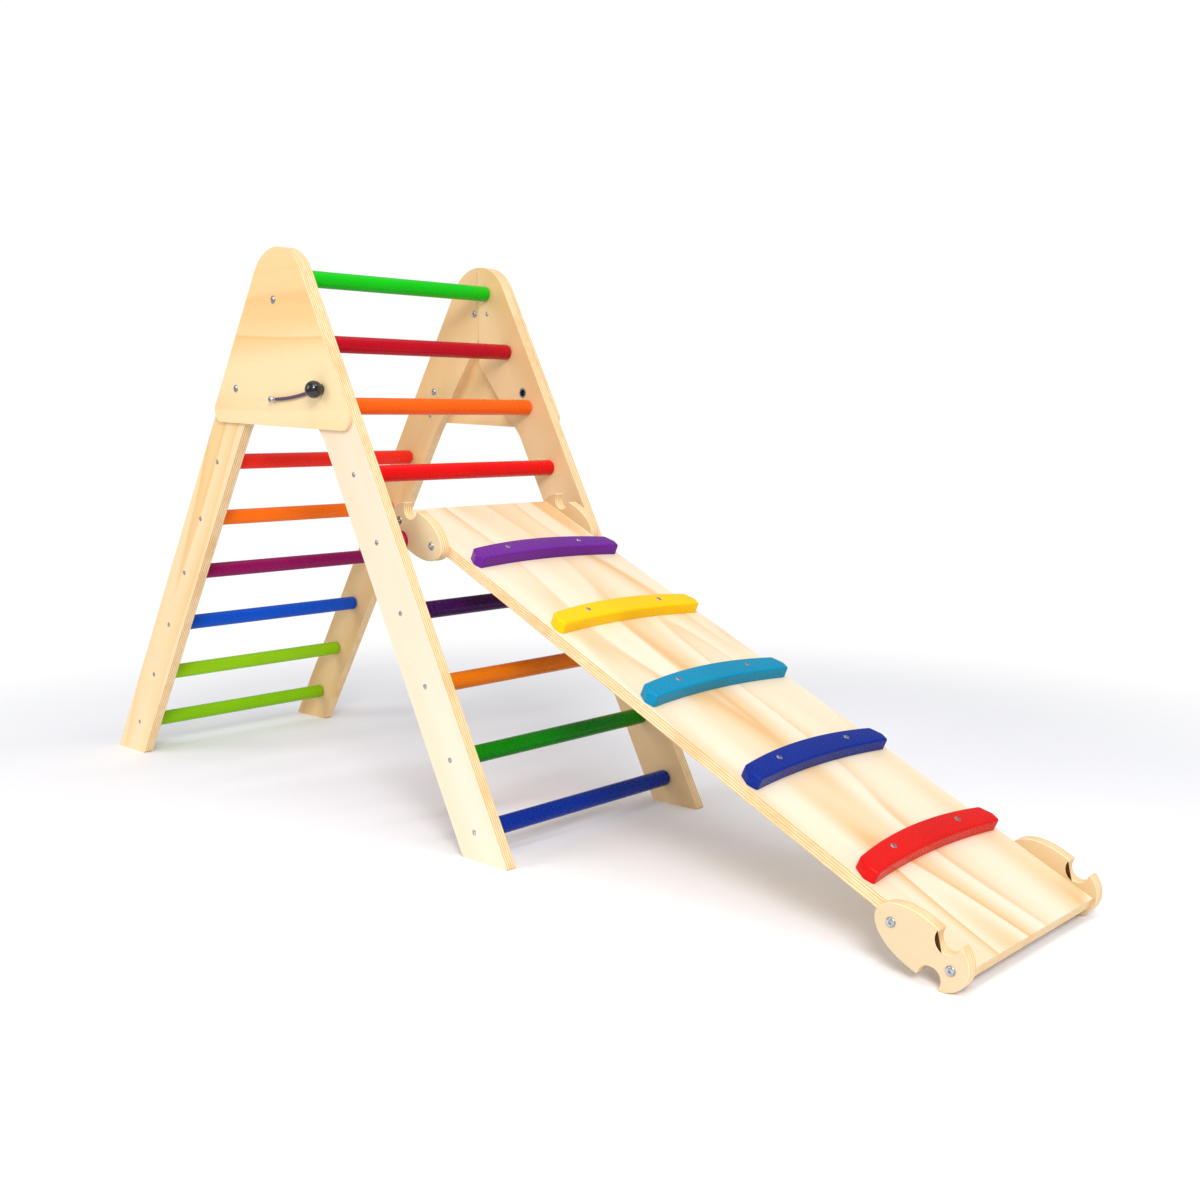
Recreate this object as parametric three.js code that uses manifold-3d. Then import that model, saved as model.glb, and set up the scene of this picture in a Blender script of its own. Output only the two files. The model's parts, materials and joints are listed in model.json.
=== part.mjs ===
// Foldable climbing triangle with a hook-on ramp, for toddlers.
//
// Two plywood ladders meet at the top between two triangular gusset plates. The gussets are bolted
// to the rear ladder; the front ladder turns on a stud in each gusset and is held open by two pull
// pins with ball knobs on short cords. A ramp with five cleats hooks over the fifth front rung.
//
// Millimetres, +Z up, +X towards the low end of the ramp, symmetric about the XZ plane. The origin
// is on the floor under the middle of the whole object.

import * as THREE from 'three';
import { mergeVertices } from 'three/addons/utils/BufferGeometryUtils.js';
import Module from 'manifold-3d';

const wasm = await Module();
wasm.setup();

// ---------------------------------------------------------------- driving dimensions

const GAP = 0.3;                  // clearance between pieces that touch
const PLY = 18;                   // plywood thickness of rails, brackets and board
const GUSSET_PLY = 6.5;

const LADDER_INNER = 420;         // clear width between the rails
const RAIL_WIDTH = 90;
const RUNG_RADIUS = 14;
const RUNG_SHOULDER = 4;          // chamfer where a rung meets its rail
const FOOT_CORNER = 6;

const FRONT_LEAN = 27.5;          // degrees from vertical
const FRONT_RUNGS = [50, 166, 287, 410, 532, 652, 776, 892, 1017];   // from the floor, along the rail

const REAR_LEAN = 33;
const REAR_RUNGS = [75, 202, 329, 456, 582, 708];

const FOOT_SPREAD = 1100;         // between the foot centres of the two ladders

const APEX_RADIUS = 78;           // rounding of the gussets and rails at the top
const GUSSET_SIDE = 432;          // from the sharp apex to each lower corner
const GUSSET_CORNER = 20;
const MITRE_GAP = 0.8;            // between the heads of the front and rear rails
const RAIL_ARC_STEPS = 6;         // facets in half of a rail's rounding
const FRONT_FLARE = { from: 740, width: 76 };        // inner side, widening up to beside the pivot
const REAR_FLARE = { from: 800, to: 985, width: 60 };
const HEAD_FILLET = 5;            // under the front rail's round head

const PIVOT_RUNG = 7;             // the ladders fold about this front rung, counted from 0
const PIVOT_RADIUS = 6;
const PIVOT_BITE = 4;             // depth of the stud in the gusset
const PIN_ALONG = 806;            // lock pin, from the floor along the front rail
const PIN_RADIUS = 6;
const BUSH_WALL = 3;
const KNOB_RADIUS = 14.5;
const NECK_RADIUS = 5;
const NECK_LENGTH = 1.5;          // between the pin's collar and the knob
const COLLAR_RADIUS = 9;
const COLLAR_HEIGHT = 1.5;

const BOLT_RADIUS = 3;
const BOLT_HEAD_RADIUS = 6.5;
const BOLT_HEAD_HEIGHT = 2.5;
const UPPER_BOLT = { x: -503, z: 867 };     // seen from the front foot's centre
const LOWER_BOLT_ALONG = 862;               // from the floor along the rear rail
const LANYARD_ANCHOR = { x: -512, z: 702 };
const ANCHOR_DEPTH = 5;           // of the lanyard's screw in the gusset
const ANCHOR_STAND = 6.8;         // from the gusset to the underside of its head
const LANYARD_RADIUS = 2.8;
const LANYARD_CLEARANCE = 0.6;    // between the cord and the gusset
const LANYARD_END_GAP = 1;        // between the cord and its anchor screw
const LANYARD_START = 13.5;       // from the pin's axis

const HOOK_RUNG = 4;              // the ramp hangs on this front rung, counted from 0
const BOARD_WIDTH = 320;
const BOARD_OVERHANG = 34;        // board beyond each pair of notches
const NOTCH_SPACING = 1070;       // between the upper and the lower notches
const NOTCH_RADIUS = 15.5;
const NOTCH_OFFSET = 28;          // from the board's middle plane to the notch centre
const TAIL_CENTRE = 5;            // the bracket's short end, from the notch
const TAIL_RADIUS = 35;
const BODY_CENTRE = 32;           // the bracket's long end, from the notch
const BODY_LENGTH = 62;
const BODY_HALF_HEIGHT = 34;
const BRACKET_SCREWS = [-70, 18]; // from the notch, positive towards the short end
const BRACKET_SCREW_DEPTH = 30;   // in the board's edge

const CLEAT_LENGTH = 312;
const CLEAT_THICKNESS = 18;
const CLEAT_CHAMFER = 4;
const CLEAT_UPPER_RISE = 16;      // rise of the arc on the uphill edge
const CLEAT_LOWER_RISE = 10;
const CLEAT_WIDTH = 38;           // at the middle
const CLEAT_NIP = 9;              // length of the slanting cut at each corner
const CLEAT_ARC_STEPS = 10;
const LOWEST_CLEAT = 182;         // from the low end of the board
const CLEAT_PITCH = 197;

const WOOD = 0xf3ddb0;
const STEEL = 0xb9bcc0;
const BLACK = 0x111111;
const CORD = 0x3a1638;
const FRONT_COLOURS = [
  0x1450c8, 0x12a51a, 0xf08a10, 0x5a12a0, 0xc02458, 0xe01020, 0xf26a10, 0xc01028, 0x18c828,
];
const REAR_COLOURS = [0x8cd010, 0x7ccc14, 0x1850c8, 0x980a6a, 0xf07010, 0xd81020];
const CLEAT_COLOURS = {
  red: 0xf01414, blue: 0x0038a8, cyan: 0x00b4e0, yellow: 0xffd400, purple: 0x6c28b0,
};

// ---------------------------------------------------------------- derived places

const radians = THREE.MathUtils.degToRad;
const frontLean = radians(FRONT_LEAN);
const rearLean = radians(REAR_LEAN);
const halfInner = LADDER_INNER / 2;
const railOuter = halfInner + PLY;
const gussetInner = railOuter + GAP;
const gussetOuter = gussetInner + GUSSET_PLY;
const boardHalf = BOARD_WIDTH / 2;
const bracketOuter = boardHalf + GAP + PLY;

// A point on a ladder: along the rail from the floor, and across it, positive away from the
// other ladder.
function onFront(along, across) {
  return {
    x: -along * Math.sin(frontLean) + across * Math.cos(frontLean),
    z: along * Math.cos(frontLean) + across * Math.sin(frontLean),
  };
}

function onRear(along, across) {
  return {
    x: -FOOT_SPREAD + along * Math.sin(rearLean) - across * Math.cos(rearLean),
    z: along * Math.cos(rearLean) + across * Math.sin(rearLean),
  };
}

// The point where the line through a and b meets the line through c and d.
function crossing(a, b, c, d) {
  const run = (b.x - a.x) * (d.z - c.z) - (b.z - a.z) * (d.x - c.x);
  const t = ((c.x - a.x) * (d.z - c.z) - (c.z - a.z) * (d.x - c.x)) / run;
  return { x: a.x + t * (b.x - a.x), z: a.z + t * (b.z - a.z) };
}

const halfRail = RAIL_WIDTH / 2;

// Where the lines at one distance across both ladders meet.
function ladderCrossing(across) {
  return crossing(onFront(0, across), onFront(1, across), onRear(0, across), onRear(1, across));
}

const sharpApex = ladderCrossing(halfRail);
const crotch = ladderCrossing(-halfRail);
const apex = ladderCrossing(halfRail - APEX_RADIUS);   // centre of the rounding of both outer edges

const pivot = onFront(FRONT_RUNGS[PIVOT_RUNG], 0);
const pin = onFront(PIN_ALONG, 0);
const lowerBolt = onRear(LOWER_BOLT_ALONG, 0);
const hook = onFront(FRONT_RUNGS[HOOK_RUNG], 0);

// The ramp tilts until the round short end of its lower brackets touches the floor.
const tailReach = NOTCH_SPACING + TAIL_CENTRE;
const tailDrop = Math.asin((hook.z - TAIL_RADIUS) / Math.hypot(tailReach, NOTCH_OFFSET));
const rampTilt = tailDrop + Math.atan(NOTCH_OFFSET / tailReach);

// ---------------------------------------------------------------- geometry helpers

// A closed outline in the XZ plane whose corners are rounded: corners are { x, z, r }.
function roundedOutline(corners) {
  const shape = new THREE.Shape();
  const toVector = (p) => new THREE.Vector2(p.x, p.z);
  corners.forEach((corner, i) => {
    const here = toVector(corner);
    const before = toVector(corners[(i + corners.length - 1) % corners.length]).sub(here).normalize();
    const after = toVector(corners[(i + 1) % corners.length]).sub(here).normalize();
    const half = Math.acos(THREE.MathUtils.clamp(before.dot(after), -1, 1)) / 2;
    const trim = corner.r / Math.tan(half);
    const start = here.clone().addScaledVector(before, trim);
    const end = here.clone().addScaledVector(after, trim);
    if (i === 0) shape.moveTo(start.x, start.y);
    else shape.lineTo(start.x, start.y);
    if (corner.r === 0) return;
    const inward = before.clone().add(after).normalize();
    const centre = here.clone().addScaledVector(inward, corner.r / Math.sin(half));
    const startAngle = Math.atan2(start.y - centre.y, start.x - centre.x);
    const endAngle = Math.atan2(end.y - centre.y, end.x - centre.x);
    const clockwise = before.x * after.y - before.y * after.x > 0;
    shape.absarc(centre.x, centre.y, corner.r, startAngle, endAngle, clockwise);
  });
  shape.closePath();
  return shape;
}

// Carries an outline round a corner on its way from the point before it towards the point after it.
function easeCorner(shape, before, corner, after, radius) {
  const here = new THREE.Vector2(corner.x, corner.z);
  const toBefore = new THREE.Vector2(before.x, before.z).sub(here).setLength(radius);
  const toAfter = new THREE.Vector2(after.x, after.z).sub(here).setLength(radius);
  shape.lineTo(here.x + toBefore.x, here.y + toBefore.y);
  shape.quadraticCurveTo(here.x, here.y, here.x + toAfter.x, here.y + toAfter.y);
}

// Outlines run anticlockwise and their holes clockwise.
function drill(shape, place, radius) {
  shape.holes.push(new THREE.Path().absarc(place.x, place.z, radius, 0, 2 * Math.PI, true));
}

// An outline in the XZ plane made into a plate that fills y from low to high.
function plate(shape, low, high, curveSegments = 6) {
  const depth = high - low;
  const geometry = new THREE.ExtrudeGeometry(shape, { depth, bevelEnabled: false, curveSegments });
  geometry.rotateX(Math.PI / 2);
  geometry.translate(0, high, 0);
  return geometry;
}

// A solid turned about the Y axis: profile points are [radius, y], from low y to high y.
function turned(profile, segments = 16) {
  return new THREE.LatheGeometry(profile.map(([radius, y]) => new THREE.Vector2(radius, y)), segments);
}

// A plain round bar about the Y axis.
function bar(radius, low, high, segments = 16) {
  return turned([[0, low], [radius, low], [radius, high], [0, high]], segments);
}

// A ring about the Y axis.
function ring(inner, outer, low, high, segments = 16) {
  return turned([[inner, low], [outer, low], [outer, high], [inner, high], [inner, low]], segments);
}

function toSolid(geometry) {
  const bare = geometry.clone();
  bare.deleteAttribute('normal');
  bare.deleteAttribute('uv');
  const merged = mergeVertices(bare, 1e-4);
  return new wasm.Manifold(new wasm.Mesh({
    numProp: 3,
    vertProperties: new Float32Array(merged.attributes.position.array),
    triVerts: new Uint32Array(merged.index.array),
  }));
}

function toGeometry(solid) {
  const mesh = solid.getMesh();
  const geometry = new THREE.BufferGeometry();
  geometry.setAttribute('position', new THREE.BufferAttribute(mesh.vertProperties, 3));
  geometry.setIndex(new THREE.BufferAttribute(mesh.triVerts, 1));
  geometry.computeVertexNormals();
  return geometry;
}

// The geometry with every cutter taken away from it.
function cut(geometry, cutters) {
  const takeAway = (solid, cutter) => solid.subtract(toSolid(cutter));
  return toGeometry(cutters.reduce(takeAway, toSolid(geometry)));
}

// The y range, low to high, of what lies between two distances from the middle plane on one side.
function span(side, inner, outer) {
  return side > 0 ? [inner, outer] : [-outer, -inner];
}

function placedBar(radius, low, high, place) {
  return bar(radius, low, high).translate(place.x, 0, place.z);
}

const sides = { near: -1, far: 1 };

const slide = new THREE.Group();
const frontLadder = new THREE.Group();
const rearLadder = new THREE.Group();
const ramp = new THREE.Group();
slide.add(frontLadder, rearLadder, ramp);

function add(group, name, geometry, colour, roughness = 0.6, metalness = 0) {
  const material = new THREE.MeshStandardMaterial({ color: colour, roughness, metalness });
  const mesh = new THREE.Mesh(geometry, material);
  mesh.name = name;
  group.add(mesh);
  return mesh;
}

function addWood(group, name, geometry) {
  return add(group, name, geometry, WOOD, 0.55);
}

function addSteel(group, name, geometry) {
  return add(group, name, geometry, STEEL, 0.3, 0.9);
}

function atPlace(mesh, place) {
  mesh.position.set(place.x, 0, place.z);
}

// ---------------------------------------------------------------- ladders

// A rail runs from its level foot to the rounded apex, where its inner side is cut upright beside
// the other rail's head. on is onFront or onRear; direction is 1 for the front rail, -1 for the rear.
// carryOn draws the inner side from the upright cut down to where the rail has its plain width.
function railOutline(on, direction, lean, carryOn) {
  const floor = [{ x: 0, z: 0 }, { x: 1, z: 0 }];
  const footInner = crossing(on(0, -halfRail), on(1, -halfRail), ...floor);
  const footOuter = crossing(on(0, halfRail), on(1, halfRail), ...floor);
  const mitreX = crotch.x + direction * MITRE_GAP / 2;
  const tangent = direction > 0 ? lean : Math.PI - lean;
  const topAngle = Math.acos((mitreX - apex.x) / APEX_RADIUS);
  const shape = new THREE.Shape();
  const plainWidth = carryOn(shape, mitreX);
  easeCorner(shape, plainWidth, footInner, footOuter, FOOT_CORNER);
  easeCorner(shape, footInner, footOuter, sharpApex, FOOT_CORNER);
  shape.absarc(apex.x, apex.z, APEX_RADIUS, tangent, topAngle, direction < 0);
  const points = shape.getPoints(RAIL_ARC_STEPS);
  return new THREE.Shape(direction > 0 ? points : points.reverse());   // anticlockwise either way
}

// The front rail's head is round about the pivot below the pivot's height, so that it turns beside
// the rear rail, and a shelf under it leads to the widening inner side.
function frontInnerSide(shape, mitreX) {
  const radius = pivot.x - mitreX;
  const beside = onFront(FRONT_RUNGS[PIVOT_RUNG], -FRONT_FLARE.width);
  const drop = pivot.z - beside.z;
  const plainWidth = onFront(FRONT_FLARE.from, -halfRail);
  shape.moveTo(mitreX, pivot.z);
  shape.absarc(pivot.x, pivot.z, radius, Math.PI, Math.PI + Math.asin(drop / radius), false);
  const headEnd = { x: pivot.x - Math.sqrt(radius * radius - drop * drop), z: beside.z };
  easeCorner(shape, headEnd, beside, plainWidth, HEAD_FILLET);
  shape.lineTo(plainWidth.x, plainWidth.z);
  return plainWidth;
}

function rearInnerSide(shape, mitreX) {
  const plainWidth = onRear(REAR_FLARE.from, -halfRail);
  const upright = [{ x: mitreX, z: 0 }, { x: mitreX, z: 1 }];
  const top = crossing(plainWidth, onRear(REAR_FLARE.to, -REAR_FLARE.width), ...upright);
  shape.moveTo(top.x, top.z);
  shape.lineTo(plainWidth.x, plainWidth.z);
  return plainWidth;
}

function rungGeometry() {
  const half = halfInner - GAP;
  const shoulder = RUNG_RADIUS - RUNG_SHOULDER / 2;
  return turned([
    [0, -half], [shoulder, -half], [RUNG_RADIUS, -half + RUNG_SHOULDER],
    [RUNG_RADIUS, half - RUNG_SHOULDER], [shoulder, half], [0, half],
  ]);
}

function addRungs(group, name, places, on, colours) {
  places.forEach((along, i) => {
    const rung = add(group, `${name}_${i + 1}`, rungGeometry(), colours[i], 0.25);
    atPlace(rung, on(along, 0));
  });
}

for (const [sideName, side] of Object.entries(sides)) {
  const frontShape = railOutline(onFront, 1, frontLean, frontInnerSide);
  drill(frontShape, pin, PIN_RADIUS + BUSH_WALL + 2 * GAP);
  drill(frontShape, pivot, PIVOT_RADIUS + GAP);
  addWood(frontLadder, `front_rail_${sideName}`, plate(frontShape, ...span(side, halfInner, railOuter)));

  const rearShape = railOutline(onRear, -1, rearLean, rearInnerSide);
  drill(rearShape, UPPER_BOLT, BOLT_RADIUS + 2 * GAP);
  drill(rearShape, lowerBolt, BOLT_RADIUS + 2 * GAP);
  addWood(rearLadder, `rear_rail_${sideName}`, plate(rearShape, ...span(side, halfInner, railOuter)));
}

addRungs(frontLadder, 'front_rung', FRONT_RUNGS, onFront, FRONT_COLOURS);
addRungs(rearLadder, 'rear_rung', REAR_RUNGS, onRear, REAR_COLOURS);

// ---------------------------------------------------------------- gussets, bolts, pivots and pins

// An isosceles plate whose sides follow the outer sides of both ladders.
function gussetOutline() {
  const sideCorner = (lean, direction) => ({
    x: sharpApex.x + direction * GUSSET_SIDE * Math.sin(lean),
    z: sharpApex.z - GUSSET_SIDE * Math.cos(lean),
  });
  return roundedOutline([
    { ...sideCorner(rearLean, -1), r: GUSSET_CORNER },
    { ...sideCorner(frontLean, 1), r: GUSSET_CORNER },
    { ...sharpApex, r: APEX_RADIUS },
  ]);
}

for (const [sideName, side] of Object.entries(sides)) {
  const shape = gussetOutline();
  drill(shape, UPPER_BOLT, BOLT_RADIUS + 2 * GAP);
  drill(shape, lowerBolt, BOLT_RADIUS + 2 * GAP);
  drill(shape, pin, PIN_RADIUS + 2 * GAP);
  const pivotReach = span(side, gussetInner - 1, gussetInner + PIVOT_BITE + GAP);
  const anchorReach = span(side, gussetOuter - ANCHOR_DEPTH, gussetOuter + 1);
  const gusset = cut(plate(shape, ...span(side, gussetInner, gussetOuter), 10), [
    placedBar(PIVOT_RADIUS + GAP, ...pivotReach, pivot),
    placedBar(BOLT_RADIUS, ...anchorReach, LANYARD_ANCHOR),
  ]);
  addWood(rearLadder, `gusset_${sideName}`, gusset);

  const stud = bar(PIVOT_RADIUS - GAP / 3, ...span(side, halfInner + GAP, gussetInner + PIVOT_BITE));
  atPlace(addSteel(frontLadder, `pivot_stud_${sideName}`, stud), pivot);

  const bush = ring(PIN_RADIUS + 2 * GAP, PIN_RADIUS + BUSH_WALL, ...span(side, halfInner, railOuter));
  atPlace(addSteel(frontLadder, `pin_bush_${sideName}`, bush), pin);

  for (const [boltName, place] of Object.entries({ upper: UPPER_BOLT, lower: lowerBolt })) {
    const headLow = gussetOuter + GAP;
    const tip = halfInner - GAP;
    const profile = [
      [0, tip], [BOLT_RADIUS, tip], [BOLT_RADIUS, headLow], [BOLT_HEAD_RADIUS, headLow],
      [BOLT_HEAD_RADIUS - 1, headLow + BOLT_HEAD_HEIGHT], [0, headLow + BOLT_HEAD_HEIGHT],
    ];
    const bolt = turned(profile, 12);
    if (side < 0) bolt.rotateX(Math.PI);
    atPlace(addSteel(rearLadder, `gusset_bolt_${boltName}_${sideName}`, bolt), place);
    const nut = bar(BOLT_HEAD_RADIUS, ...span(side, tip - GAP - BOLT_HEAD_HEIGHT, tip - GAP), 12);
    atPlace(addSteel(rearLadder, `gusset_nut_${boltName}_${sideName}`, nut), place);
  }

  const collarLow = gussetOuter + GAP;
  const neckTop = collarLow + COLLAR_HEIGHT + NECK_LENGTH;
  const pinGeometry = turned([
    [0, gussetInner], [PIN_RADIUS, gussetInner], [PIN_RADIUS, collarLow], [COLLAR_RADIUS, collarLow],
    [COLLAR_RADIUS, collarLow + COLLAR_HEIGHT], [NECK_RADIUS, collarLow + COLLAR_HEIGHT],
    [NECK_RADIUS, neckTop], [0, neckTop],
  ]);
  if (side < 0) pinGeometry.rotateX(Math.PI);
  atPlace(addSteel(rearLadder, `lock_pin_${sideName}`, pinGeometry), pin);

  // The ball knob has a flat where it meets the neck.
  const flatAngle = Math.asin(COLLAR_RADIUS / KNOB_RADIUS);
  const knobCentre = neckTop + GAP + KNOB_RADIUS * Math.cos(flatAngle);
  const steps = 8;
  const knobProfile = [[0, neckTop + GAP]];
  for (let i = 0; i < steps; i += 1) {
    const angle = flatAngle + (Math.PI - flatAngle) * (i / steps);
    knobProfile.push([KNOB_RADIUS * Math.sin(angle), knobCentre - KNOB_RADIUS * Math.cos(angle)]);
  }
  knobProfile.push([0, knobCentre + KNOB_RADIUS]);
  const knob = turned(knobProfile);
  if (side < 0) knob.rotateX(Math.PI);
  atPlace(add(rearLadder, `lock_knob_${sideName}`, knob, BLACK, 0.2), pin);

  const anchorTip = gussetOuter - ANCHOR_DEPTH + GAP;
  const anchorHead = gussetOuter + ANCHOR_STAND;
  const anchorProfile = [
    [0, anchorTip], [BOLT_RADIUS - GAP, anchorTip],
    [BOLT_RADIUS - GAP, anchorHead], [BOLT_HEAD_RADIUS - 1, anchorHead],
    [BOLT_RADIUS, anchorHead + BOLT_HEAD_HEIGHT], [0, anchorHead + BOLT_HEAD_HEIGHT],
  ];
  const anchor = turned(anchorProfile, 12);
  if (side < 0) anchor.rotateX(Math.PI);
  atPlace(addSteel(rearLadder, `lanyard_screw_${sideName}`, anchor), LANYARD_ANCHOR);
}

// ---------------------------------------------------------------- lanyards

// A short cord from each anchor screw to its pull knob. Each point is the distance along the straight
// line from the knob to the screw, as a fraction, and the sag below it.
const LANYARD_ROUTE = [
  [0, 0], [0.08, 1.1], [0.16, 2.0], [0.24, 2.8], [0.32, 3.3], [0.41, 3.7], [0.5, 3.8],
  [0.59, 3.7], [0.68, 3.3], [0.76, 2.8], [0.84, 2.0], [0.92, 1.1], [1, 0],
];

for (const [sideName, side] of Object.entries(sides)) {
  const cordY = side * (gussetOuter + LANYARD_RADIUS + LANYARD_CLEARANCE);
  const start = new THREE.Vector3(pin.x - LANYARD_START, cordY, pin.z);
  const end = new THREE.Vector3(LANYARD_ANCHOR.x + BOLT_RADIUS + LANYARD_END_GAP, cordY, LANYARD_ANCHOR.z);
  const points = LANYARD_ROUTE.map(([fraction, sag]) => {
    const point = start.clone().lerp(end, fraction);
    point.z -= sag;
    return point;
  });
  const section = new THREE.Shape().absarc(0, 0, LANYARD_RADIUS, 0, 2 * Math.PI, false);
  const cord = new THREE.ExtrudeGeometry(section, {
    extrudePath: new THREE.CatmullRomCurve3(points), steps: 12, curveSegments: 4, bevelEnabled: false,
  });
  add(rearLadder, `lanyard_${sideName}`, cord, CORD, 0.8);
}

// ---------------------------------------------------------------- ramp

// The ramp's own frame: origin on the rung it hangs from, +X down the slope, +Z off the board.
ramp.position.set(hook.x, 0, hook.z);
ramp.rotation.y = rampTilt;

const boardMiddle = NOTCH_OFFSET;
const boardLow = -BOARD_OVERHANG;
const boardHigh = NOTCH_SPACING + BOARD_OVERHANG;
const bracketPlaces = { upper: { notch: 0, facing: -1 }, lower: { notch: NOTCH_SPACING, facing: 1 } };

// Outline about the notch, with the short end towards +X: a long half-ellipse, a round tail and a
// half-round notch above and below.
function bracketOutline() {
  const bodyLip = Math.sqrt(NOTCH_RADIUS ** 2 - (BODY_HALF_HEIGHT - NOTCH_OFFSET) ** 2);
  const tailFromNotch = Math.hypot(TAIL_CENTRE, NOTCH_OFFSET);
  const reach = (TAIL_RADIUS ** 2 + tailFromNotch ** 2 - NOTCH_RADIUS ** 2) / (2 * tailFromNotch);
  const lipAngle = Math.atan2(NOTCH_OFFSET, -TAIL_CENTRE) - Math.acos(reach / TAIL_RADIUS);
  const tailLip = {
    x: TAIL_CENTRE + TAIL_RADIUS * Math.cos(lipAngle),
    z: TAIL_RADIUS * Math.sin(lipAngle),
  };
  const bodyAngle = Math.atan2(BODY_HALF_HEIGHT - NOTCH_OFFSET, -bodyLip);
  const tailAngle = Math.atan2(tailLip.z - NOTCH_OFFSET, tailLip.x);
  const shape = new THREE.Shape();
  shape.moveTo(-bodyLip, BODY_HALF_HEIGHT);
  shape.absellipse(-BODY_CENTRE, 0, BODY_LENGTH, BODY_HALF_HEIGHT, Math.PI / 2, 1.5 * Math.PI, false, 0);
  shape.lineTo(-bodyLip, -BODY_HALF_HEIGHT);
  shape.absarc(0, -NOTCH_OFFSET, NOTCH_RADIUS, -bodyAngle, -tailAngle, true);
  shape.absarc(TAIL_CENTRE, 0, TAIL_RADIUS, -lipAngle, lipAngle, false);
  shape.absarc(0, NOTCH_OFFSET, NOTCH_RADIUS, tailAngle, bodyAngle, true);
  shape.closePath();
  return shape;
}

const screwHoles = [];
for (const { notch, facing } of Object.values(bracketPlaces)) {
  for (const along of BRACKET_SCREWS) {
    const place = { x: notch + facing * along, z: boardMiddle };
    for (const side of Object.values(sides)) {
      const reach = span(side, boardHalf - BRACKET_SCREW_DEPTH, boardHalf + 1);
      screwHoles.push(placedBar(BOLT_RADIUS + GAP, ...reach, place));
    }
  }
}
const boardLength = boardHigh - boardLow;
const boardBox = new THREE.BoxGeometry(boardLength, BOARD_WIDTH, PLY);
boardBox.translate((boardLow + boardHigh) / 2, 0, boardMiddle);
addWood(ramp, 'ramp_board', cut(boardBox, screwHoles));

for (const [endName, { notch, facing }] of Object.entries(bracketPlaces)) {
  for (const [sideName, side] of Object.entries(sides)) {
    const shape = bracketOutline();
    for (const along of BRACKET_SCREWS) drill(shape, { x: along, z: 0 }, BOLT_RADIUS + GAP);
    const bracket = plate(shape, ...span(side, boardHalf + GAP, bracketOuter), 8);
    if (facing < 0) {
      bracket.rotateZ(Math.PI);
      bracket.translate(0, side * (boardHalf + GAP + bracketOuter), 0);
    }
    const mesh = addWood(ramp, `bracket_${endName}_${sideName}`, bracket);
    mesh.position.set(notch, 0, boardMiddle);

    BRACKET_SCREWS.forEach((along, i) => {
      const headLow = bracketOuter + GAP;
      const tip = boardHalf - BRACKET_SCREW_DEPTH + GAP;
      const screw = turned([
        [0, tip], [BOLT_RADIUS, tip], [BOLT_RADIUS, headLow], [BOLT_HEAD_RADIUS, headLow],
        [BOLT_HEAD_RADIUS - 1, headLow + BOLT_HEAD_HEIGHT], [0, headLow + BOLT_HEAD_HEIGHT],
      ], 12);
      if (side < 0) screw.rotateX(Math.PI);
      const screwMesh = addSteel(ramp, `bracket_screw_${endName}_${sideName}_${i + 1}`, screw);
      screwMesh.position.set(notch + facing * along, 0, boardMiddle);
    });
  }
}

// A cleat is a shallow crescent across the board, bowed uphill, with slanting cuts at its four
// corners and a chamfer round its top. Drawn in plan: x is along the slope, y across the board.
function cleatGeometry() {
  const half = CLEAT_LENGTH / 2 - CLEAT_CHAMFER;
  const inset = CLEAT_CHAMFER;
  const arc = (rise, middle, from, to, steps) => {
    const radius = (half * half + rise * rise) / (2 * rise);
    return Array.from({ length: steps + 1 }, (_, i) => {
      const y = from + (to - from) * (i / steps);
      return new THREE.Vector2(middle + radius - Math.sqrt(radius * radius - y * y), y);
    });
  };
  const upperEnd = half - CLEAT_NIP;
  const lowerEnd = half - CLEAT_NIP / 2;
  const uphill = arc(CLEAT_UPPER_RISE, -CLEAT_WIDTH / 2 + inset, upperEnd, -upperEnd, CLEAT_ARC_STEPS);
  const downhill = arc(CLEAT_LOWER_RISE, CLEAT_WIDTH / 2 - inset, -lowerEnd, lowerEnd, CLEAT_ARC_STEPS);
  const tipX = CLEAT_LOWER_RISE + CLEAT_NIP / 2;
  const nearTip = new THREE.Vector2(tipX, -half);
  const farTip = new THREE.Vector2(tipX, half);
  const shape = new THREE.Shape([...uphill, nearTip, ...downhill, farTip]);
  const bevelled = new THREE.ExtrudeGeometry(shape, {
    depth: CLEAT_THICKNESS, bevelEnabled: true, bevelSegments: 1,
    bevelSize: CLEAT_CHAMFER, bevelThickness: CLEAT_CHAMFER,
  });
  bevelled.translate(0, 0, -CLEAT_CHAMFER);
  const below = new THREE.BoxGeometry(2 * CLEAT_LENGTH, 2 * CLEAT_LENGTH, 4 * CLEAT_CHAMFER);
  below.translate(0, 0, -2 * CLEAT_CHAMFER);
  return cut(bevelled, [below]);
}

Object.entries(CLEAT_COLOURS).forEach(([colourName, colour], i) => {
  const cleat = add(ramp, `cleat_${colourName}`, cleatGeometry(), colour, 0.3);
  const fromLowEnd = LOWEST_CLEAT + i * CLEAT_PITCH;
  cleat.position.set(boardHigh - fromLowEnd, 0, boardMiddle + PLY / 2 + GAP);
});

// ---------------------------------------------------------------- whole object

// The origin goes under the middle of the object's length.
const extent = new THREE.Box3().setFromObject(slide, true);
slide.position.x = -(extent.min.x + extent.max.x) / 2;

export default slide;
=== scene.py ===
"""Finished looks of a foldable climbing triangle with a hook-on ramp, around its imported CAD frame.

Metres, +Z up, +X towards the low end of the ramp. Rails, gussets and the ramp's board stay as the
CAD has them, with eased edges and plywood materials. Rungs, cleats, brackets, pull pins, cords and
fasteners are built here in mesh code and stand for their CAD nodes.
"""

import json
import math

import bmesh
import bpy
from mathutils import Matrix, Vector


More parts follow.
